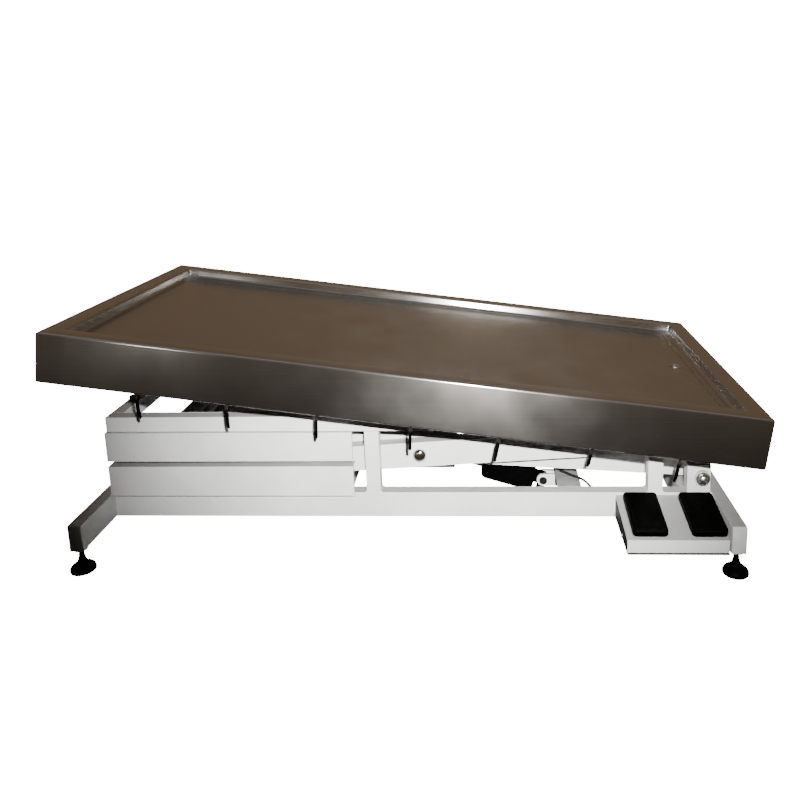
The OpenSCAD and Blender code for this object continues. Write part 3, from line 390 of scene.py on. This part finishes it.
def domed(flange, radius, shoulder, rise):
    """The profile of a bolt's head or a nut: its flange, then a quarter ellipse rising above the shoulder."""
    arc = np.linspace(0, np.pi / 2, 10)
    return flange + [(radius * math.cos(a), shoulder + rise * math.sin(a)) for a in arc]


chrome = finish("chrome", "#a9a9a9", "#c6c6c6", dict(Scale=60, Detail=3),
                rough=(dict(Scale=200, Detail=3), 0.06, 0.16), Metallic=1)
centre_x, centre_z, arms_face, bolt_radius = 24.03, 159, 222, 12.6
head = domed([(0, -20), (6, -20), (6, 0), (bolt_radius, 0), (bolt_radius, 2.4)], bolt_radius, 3, 7)
piece("centre_bolt_heads",
      [turned(head, (centre_x, -arms_face * m, centre_z), (0, -m, 0)) for m in (1, -1)], chrome,
      frame["nodes"]["centre_bolts"]["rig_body"], ["centre_bolts"])
softened("lift_anchor_pin", 0.5, chrome)

# The base pivots end in wide domed nuts of the same steel as the pins, each on a flat washer
pivot_x, pivot_z, bracket_face, nut_radius = 553, 126, 257.6, 9.5
nut = domed([(0, -3), (6, -3), (6, 0), (13, 0), (13.2, 0.4), (13, 1.4), (nut_radius, 1.6), (nut_radius, 4)],
            nut_radius, 4, 6.5)
piece("base_pivot_nuts", [turned(nut, (pivot_x, -bracket_face * m, pivot_z), (0, -m, 0)) for m in (1, -1)],
      turned_steel, "base")

# Rollers: black polyamide wheels with a recessed web, running in the tracks. The lower ones stand as high as
# the base pivots, and the upper ones are smaller and nearer to the middle.
nylon = finish("moulded_polyamide", "#000000", "#010101", dict(Scale=60, Detail=4),
               relief=(dict(Scale=1200, Detail=2), 0.3, 0.2), rough=(dict(Scale=40, Detail=3), 0.5, 0.65),
               Specular_IOR_Level=0.03)
roller_x, roller_width = -504.9, 20
for level, height, y, radius in (("low", pivot_z, 247, 24.7), ("up", 192, 219, 19.7)):
    half = [(7.05, 0), (11, 0), (11.6, 0.6), (12, 2.5), (radius - 5, 2.5), (radius - 4.5, 0.6),
            (radius - 4, 0), (radius - 1, 0), (radius - 0.3, 0.3), (radius, 1)]
    wheel = half + [(r, roller_width - h) for r, h in half[::-1]]
    for side, m in (("front", 1), ("rear", -1)):
        name = f"roller_{level}_{side}"
        piece(name + "_wheel", [turned(wheel, (roller_x, -y * m, height), (0, m, 0))], nylon,
              frame["nodes"][name]["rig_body"], [name], closing="ring")

# Levelling feet: round black moulded pads, domed on top, each with a threaded stem in one piece.
# The stem screws into an insert in the beam's end.
foot_x, foot_y = 584.5, 362
thread_root, thread_depth, thread_start, thread_step, stem_top = 4.4, 0.6, 33.5, 0.75, 55
foot_profile = [(0, 0), (20.5, 0), (22, 0.8), (22.5, 2), (22.5, 5), (22, 7), (20.5, 9.6), (17.5, 12.4),
                (14, 14.8), (11, 17), (9, 19.4), (7.6, 22), (6.6, 25), (5.6, 29), (5.2, 33)]
foot_profile += [(thread_root + thread_depth * (i % 2), thread_start + thread_step * i) for i in range(28)]
foot_profile += [(0, stem_top)]
for side, y in (("front", -foot_y), ("rear", foot_y)):
    for end, x in (("left", -foot_x), ("right", foot_x)):
        name = f"foot_{side}_{end}"
        piece(name + "_pad", [turned(foot_profile, (x, y, 0), (0, 0, 1))], nylon,
              frame["nodes"][name]["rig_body"], [name])


# Pedals: two rocking pads of black moulded plastic with rounded edges and a shallow raised rim.
# Each stands on a round neck that goes down into the pedal base.
def pad(length, width, radius, levels):
    """Rings of a flat moulded piece: a rectangle with round corners, drawn in by each level's inset at its
    height."""
    quarter = np.linspace(0, np.pi / 2, 7)
    turn = (np.arange(4)[:, None] * np.pi / 2 + quarter).reshape(-1)
    sign = np.repeat([(1, 1), (-1, 1), (-1, -1), (1, -1)], 7, axis=0)
    inset, reach = np.array(levels, float).T[:, :, None]
    corner = np.maximum(radius - inset, 0.4)
    x = sign[:, 0] * (length / 2 - inset - corner) + corner * np.cos(turn)
    y = sign[:, 1] * (width / 2 - inset - corner) + corner * np.sin(turn)
    return np.stack([x, y, np.broadcast_to(reach, x.shape)], -1)


def tipped(points, degrees, place):
    """Turned about X by so many degrees, then moved to its place."""
    c, s = math.cos(math.radians(degrees)), math.sin(math.radians(degrees))
    x, y, z = points[..., 0], points[..., 1], points[..., 2]
    return np.stack([x, y * c - z * s, y * s + z * c], -1) + np.array(place, float)


# The pads lie along the slope of the base under them and stand clear of it by a gap
wedge_rise, wedge_run = 19, 127
wedge_tilt = math.degrees(math.atan(wedge_rise / wedge_run))
pedal_width, pedal_length, pedal_corner, pedal_y = 61, 112, 7, -317.5
wedge_middle, pedal_gap = 80.5, 3
pedal_z = wedge_middle + pedal_gap / math.cos(math.radians(wedge_tilt))
pedal_levels = [(1.2, 0), (0.3, 0.4), (0, 1.5), (0, 9), (0.3, 10.4), (1.2, 11.5), (2.6, 12), (5, 12),
                (6, 11.4), (7, 11.2)]
pedal_pad = pad(pedal_width, pedal_length, pedal_corner, pedal_levels)
pedal_neck = turned([(0, -21), (5.4, -21), (6, -20.4), (6, 0.5), (0, 0.5)], (0, 0, 0), (0, 0, 1))
for name, x in (("pedal_left", 435), ("pedal_right", 536.5)):
    shapes = [tipped(shape, wedge_tilt, (x, pedal_y, pedal_z)) for shape in (pedal_pad, pedal_neck)]
    piece(name + "_pad", shapes, nylon, frame["nodes"][name]["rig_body"], [name])

# Pedal base: a wedge of folded sheet, coated white, closed below by a dark steel plate.
# It stands out from the front rail at its right end, and two screws show at its left.
softened("pedal_base", 1.2, coat)
plate_steel = finish("blackened_plate", "#3d3b38", "#57544f", dict(Scale=80, Detail=4),
                     rough=(dict(Scale=60, Detail=3), 0.35, 0.55), Metallic=0.6)
softened("pedal_base_plate", 0.4, plate_steel)
# A thin black sheet on its left side, under the screws' heads, is painted shade: that side gets hardly any
# light
black_sheet = finish("black_sheet", "#030303", "#070706", dict(Scale=90, Detail=4), Roughness=0.6,
                     Specular_IOR_Level=0.15)
side_inner, side_outer = 393.9, 393.2
side_plan = np.array([(-256, 47), (-378, 47), (-378, 67.5), (-256, 86)], float)
side_sheet = np.stack([np.concatenate([np.full((4, 1), x), side_plan], -1) for x in (side_inner, side_outer)])
piece("pedal_base_side_painted_shade", [side_sheet], black_sheet, "base")
screw_x, screw_z, screw_ys = 393, 53, (-257.62, -330.01)
screw = [(0, -0.8), (4.1, -0.8), (4.1, 0.4), (3.4, 1.2), (2, 1.7), (0, 1.8)]
piece("pedal_base_screws", [turned(screw, (screw_x, y, screw_z), (-1, 0, 0), 24) for y in screw_ys],
      turned_steel, "base")

# Control box: a grey moulded plastic case between the cross members, with a fine grain.
# The lift drive's lead ends in it.
case = finish("moulded_case", "#4a4c4e", "#5c5e60", dict(Scale=50, Detail=4),
              relief=(dict(Scale=900, Detail=2), 0.3, 0.25), Roughness=0.5)
softened("control_box", 2.5, case, segments=3)

# Drives: black moulded motor housings, anodised aluminium tubes and chromed rods.
# The rest buffers are black rubber, as the lead's sheath is.
satin = finish("anodised_tube", "#a8a9ab", "#c0c1c3", dict(Scale=200, Detail=3),
               rough=(dict(Scale=150, Detail=3), 0.25, 0.38), Metallic=1)
for name, radius, look in (("lift_motor", 2.5, nylon), ("tilt_motor", 2, nylon), ("lift_tube", 0.5, satin),
                           ("tilt_tube", 0.4, satin), ("lift_rod", 0.5, chrome), ("tilt_rod", 0.4, chrome),
                           ("rest_buffers", 1.5, sheath)):
    softened(name, radius, look, segments=3 if radius > 1 else 2)


# Tray: one 2 mm stainless sheet, folded to a rim, a steep wall, a flat pan and a skirt, and welded at its
# corners. It is brushed along its length, so each lamp draws out into a streak across the grain.
def bent(corners, radius, steps=5):
    """A line through the corners with each inner corner rounded: between the points that lie radius before
    and after it, the line follows the parabola that has both sides as tangents."""
    p = np.array(corners, float)
    before, after = p[:-2] - p[1:-1], p[2:] - p[1:-1]
    before /= np.linalg.norm(before, axis=1, keepdims=True)
    after /= np.linalg.norm(after, axis=1, keepdims=True)
    reach = np.broadcast_to(radius, len(p) - 2)[:, None, None]
    t = np.linspace(0, 1, steps)[None, :, None]
    curve = p[1:-1, None] + reach * ((1 - t) ** 2 * before[:, None] + t ** 2 * after[:, None])
    return np.concatenate([p[:1], curve.reshape(-1, 2), p[-1:]])


tray_long, tray_wide, skirt_deep, rim_wide, pan_deep, sheet_thick = 1300, 650, 90, 34, 18, 2
tray_tilt, tray_z = 7.6, 351.94
tray_x = skirt_deep * math.sin(math.radians(tray_tilt)) / 2


def on_tray(points):
    """From the level tray's own axes to the tilted tray's place: turned about Y, then moved."""
    c, s = math.cos(math.radians(tray_tilt)), math.sin(math.radians(tray_tilt))
    x, y, z = points[..., 0], points[..., 1], points[..., 2]
    return np.stack([x * c + z * s + tray_x, y, z * c - x * s + tray_z], -1)


# The section runs in (distance from the tray's edge, height): pan, bend, steep wall, rim, skirt, return
pan_start, apron_start, wall_foot, wall_deep, lip_wide = 60, 46, 38, 16, 14
first_face = bent([(pan_start, -pan_deep), (apron_start, -pan_deep), (wall_foot, -wall_deep), (rim_wide, 0),
                   (0, 0), (0, -skirt_deep), (lip_wide, -skirt_deep)], [3, 4, 2.2, 1.9, 2.2])
run = np.gradient(first_face, axis=0)
run /= np.linalg.norm(run, axis=1, keepdims=True)
# Known fault: this offset points outward, so the second face lies outside the first along
# the whole section. On the pan it lies below, so the two cross at the pan's edge, and both pan faces point in.
second_face = first_face + sheet_thick * np.stack([run[:, 1], -run[:, 0]], -1)
second_face[0, 0], second_face[-1, 0] = first_face[0, 0], first_face[-1, 0]
# Plan of the tray: its corner arcs are the same at each distance from the edge, with points between them
corner_round = 2.5
quarter = np.linspace(0, np.pi / 2, 5)
turn = np.arange(4)[:, None] * np.pi / 2 + quarter
sign = np.array([(1, 1), (-1, 1), (-1, -1), (1, -1)])


def plan(inset):
    """The tray's outline at a distance from its edge: round corners joined by straight sides of 24 steps."""
    half = np.array([tray_long / 2, tray_wide / 2]) - np.asarray(inset, float)[..., None]
    centre = sign * (half[..., None, :] - corner_round)
    arcs = centre[..., :, None, :] + corner_round * np.stack([np.cos(turn), np.sin(turn)], -1)
    following = np.roll(arcs, -1, axis=-3)[..., :1, :]
    t = np.linspace(0, 1, 25)[1:-1, None]
    sides = arcs[..., -1:, :] * (1 - t) + following * t
    ring = np.concatenate([arcs, sides], axis=-2)
    return ring.reshape(*ring.shape[:-3], -1, 2)


drain, drain_radius = np.array([561, 0.0]), 10.05
edge = plan(pan_start)
angle = np.arctan2(edge[:, 1] - drain[1], edge[:, 0] - drain[0])
hole = drain + drain_radius * np.stack([np.cos(angle), np.sin(angle)], -1)
# From the drain's hole the pan runs out along straight rays to its edge
shares = np.array([0, 0.01, 0.03, 0.1, 0.25, 0.5, 0.75, 0.95])[:, None, None]
floor_plan = hole * (1 - shares) + edge * shares


def tray_side(section, level):
    """One side of the sheet: the pan's rays at that level, then the section carried round the plan."""
    pan = np.concatenate([floor_plan, np.full(floor_plan.shape[:2] + (1,), level)], -1)
    folds = plan(section[:, 0])
    heights = np.broadcast_to(section[:, 1, None, None], folds.shape[:2] + (1,))
    return np.concatenate([pan, np.concatenate([folds, heights], -1)])


sheet_grid = np.concatenate([tray_side(first_face, -pan_deep),
                             tray_side(second_face, -pan_deep - sheet_thick)[::-1]])
steel = finish("brushed_stainless", "#938f8a", "#a19d98",
               dict(Scale=1, Detail=5, Roughness=0.7, stretch=(3, 900, 900)),
               relief=(dict(Scale=1, Detail=4, Roughness=0.7, stretch=(3, 1200, 1200)), 0.1, 0.05),
               rough=(dict(Scale=12, Detail=4), 0.18, 0.22), Metallic=1, Anisotropic=0.8)
tray_sheet = piece("tray_sheet", [on_tray(sheet_grid)], steel, frame["nodes"]["tray_top"]["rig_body"],
                   ["tray_top", "tray_skirt"], closing="ring")
# How far a point lies below the rim, from 0 to 1 at 6 mm deep, counted only inside the rim
sunk_depth, sunk_inset = 6, 25
sunk = tray_sheet.data.attributes.new("sunk", "FLOAT", "POINT")
inset = np.minimum(tray_long / 2 - np.abs(sheet_grid[..., 0]), tray_wide / 2 - np.abs(sheet_grid[..., 1]))
below = np.clip(-sheet_grid[..., 2] / sunk_depth, 0, 1) * (inset > sunk_inset)
sunk.data.foreach_set("value", below.reshape(-1))
# The brushing runs along V, which is the table's length, and light is drawn out along U, across it
flat_map = tray_sheet.data.uv_layers.new(name="grain")
corner = np.zeros(len(tray_sheet.data.loops), int)
tray_sheet.data.loops.foreach_get("vertex_index", corner)
local = sheet_grid.reshape(-1, 3)[corner]
flat_map.data.foreach_set("uv", np.stack([local[:, 1] - local[:, 2], local[:, 0]], -1).reshape(-1) / 1000)
tangent = node(steel.node_tree, "ShaderNodeTangent", direction_type="UV_MAP", uv_map="grain")
steel.node_tree.links.new(tangent.outputs["Tangent"],
                          steel.node_tree.nodes["Principled BSDF"].inputs["Tangent"])

# Where the wall's corners were welded and pickled, the steel is paler and duller. The patch is full inside
# the weld's core and fades out at its reach, in metres of the map, and is mirrored to all four corners.
weld_place, weld_core, weld_reach = (0.29, 0.612, 0), 0.010, 0.042
tree = steel.node_tree
shader = tree.nodes["Principled BSDF"]
unfolded = node(tree, "ShaderNodeUVMap", uv_map="grain").outputs[0]
mirrored = node(tree, "ShaderNodeVectorMath", [("Vector", unfolded)], operation="ABSOLUTE")
reach = node(tree, "ShaderNodeVectorMath", [("Vector", mirrored.outputs[0])], operation="DISTANCE")
reach.inputs[1].default_value = weld_place
patch = node(tree, "ShaderNodeMapRange", [("Value", reach.outputs["Value"])],
             From_Min=weld_reach, From_Max=weld_core)
depth = node(tree, "ShaderNodeAttribute", attribute_name="sunk")
weld = node(tree, "ShaderNodeMath", operation="MULTIPLY")
tree.links.new(patch.outputs[0], weld.inputs[0])
tree.links.new(depth.outputs["Fac"], weld.inputs[1])
for name, pale in (("Base Color", colour("#9b9b9a")), ("Roughness", [0.36] * 3 + [1])):
    before = shader.inputs[name].links[0].from_socket
    mixed = node(tree, "ShaderNodeMix", [("Factor", weld.outputs[0]), ("A", before)], data_type="RGBA")
    mixed.inputs["B"].default_value = pale
    tree.links.new(mixed.outputs["Result"], shader.inputs[name])

# One domed steel rivet in each short side of the rim, just behind its middle. The heads are lower than the
# sheet's outer face, so with the fault above they don't show.
rivet_inset, rivet_y = 14, 5
rivet = [(0, -1), (4, -1), (4, 0.2), (3.6, 0.7), (2.6, 1.1), (1.3, 1.3), (0, 1.35)]
rivet_x = tray_long / 2 - rivet_inset
piece("rim_rivets", [on_tray(turned(rivet, (x, rivet_y, 0), (0, 0, 1))) for x in (-rivet_x, rivet_x)],
      turned_steel, "tray")

# Under the pan: a bar, two hat sections, hinge plates, lugs and the drain's fitting, all of plain stainless
# steel and fixed to the pan
under_steel = finish("plain_stainless", "#8b8781", "#a7a39d", dict(Scale=200, Detail=4),
                     rough=(dict(Scale=90, Detail=4), 0.28, 0.42), Metallic=1)
for name, radius in (("tray_stiffeners", 1.5), ("tray_hinge_plates", 0.8), ("tray_lugs", 0.6),
                     ("drain_fitting", 0.3)):
    softened(name, radius, under_steel)

# Hooks: dark oiled rods welded under the skirt's return, each in a black sleeve that bends inward at its end
dark_rod = finish("oiled_rod", "#14110e", "#221d18", dict(Scale=200, Detail=3), Roughness=0.4,
                  Specular_IOR_Level=0.3)
# Seven hang on each long side, a pitch apart. Each has its own share of the full length, its shift along the
# skirt in millimetres and its lean in degrees, as hooks get bent in use.
hook_length_shares = (1, 0.96, 0.92, 0.94, 0.98, 0.74, 0.92)
hook_shifts = (3, 2, -1, 3, -3, -4, -15)
hook_leans = (-11, -8, -5, -4.5, 4, 5, 3)
hook_length, hook_bend, hook_angle, hook_pitch, hook_middle, hook_y = 50, 40, 22, 166, 22, -318
bend = np.radians(np.linspace(0, hook_angle, 9))
sleeve_radii = np.array([2.6, 2.9, 3] + [3] * 6 + [2.9, 2.8, 2.7, 2.2, 1.1])
rod = turned([(0, 0.2), (4, 0.2), (4, -0.5), (3.3, -1.4), (2.4, -3), (2.4, -18), (0, -18)],
             (0, 0, 0), (0, 0, 1))
rods, sleeves = [], []
for i, (share, lean, shift) in enumerate(zip(hook_length_shares, hook_leans, hook_shifts)):
    # The sleeve runs straight down, then round an arc of the bend's radius, and tapers over its last 2 mm
    straight = hook_length * share - hook_bend * math.sin(math.radians(hook_angle))
    tip = np.stack([0 * bend, hook_bend - hook_bend * np.cos(bend), -straight - hook_bend * np.sin(bend)], -1)
    last = tip[-1] + np.array([[0, 0.6, -1.4], [0, 0.9, -2.1]])
    line = np.concatenate([[[0, 0, -13], [0, 0, -13.4], [0, 0, -15]], tip, last])
    sleeve = swept(line, sleeve_radii, across=(1, 0, 0))
    along = hook_middle + (i - 3) * hook_pitch + shift
    c, s = math.cos(math.radians(lean)), math.sin(math.radians(lean))
    for m in (1, -1):
        for shape, group in ((sleeve, sleeves), (rod, rods)):
            x, y, z = shape[..., 0], shape[..., 1], shape[..., 2]
            hung = np.stack([x * c + z * s + along, (y + hook_y) * m, z * c - x * s - skirt_deep], -1)
            group.append(on_tray(hung))
piece("hook_bare_rods", rods, dark_rod, "tray", ["hook_rods"])
piece("hook_black_sleeves", sleeves, nylon, "tray", ["hook_sleeves"])
